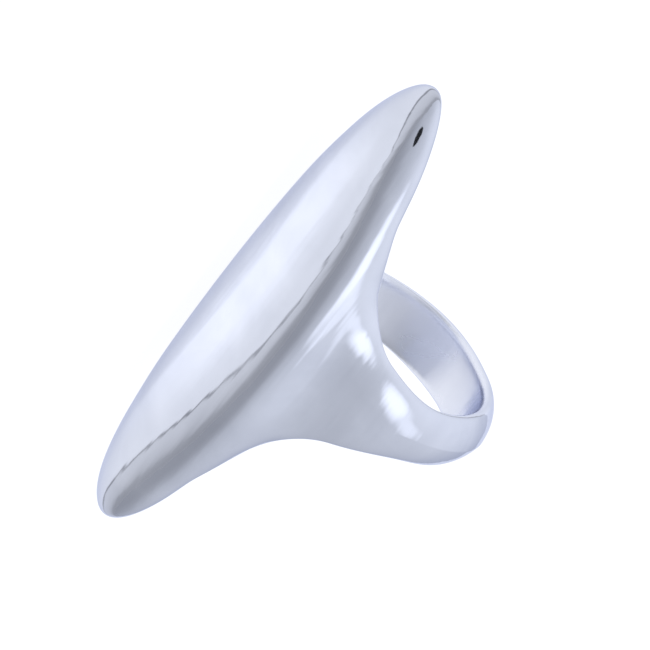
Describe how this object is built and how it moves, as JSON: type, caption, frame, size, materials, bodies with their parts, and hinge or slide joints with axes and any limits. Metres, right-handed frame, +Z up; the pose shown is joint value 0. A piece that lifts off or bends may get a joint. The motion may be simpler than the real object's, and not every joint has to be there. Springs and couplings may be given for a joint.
{
  "type": "silver statement ring",
  "caption": "Polished silver ring with a long domed spindle head lying along the finger and a tapering band.",
  "frame": {"origin": "Centre of the ring's footprint on the surface it lies on.", "axes": "The ring lies on its side. +Y runs along the finger, through the hole and along the head. -X points from the hole towards the head. +Z is up."},
  "size_m": [0.0244, 0.0446, 0.0203],
  "materials": {
    "silver": "mirror polished sterling silver"
  },
  "bodies": {
    "root": {"ring": "silver"}
  },
  "joints": []
}
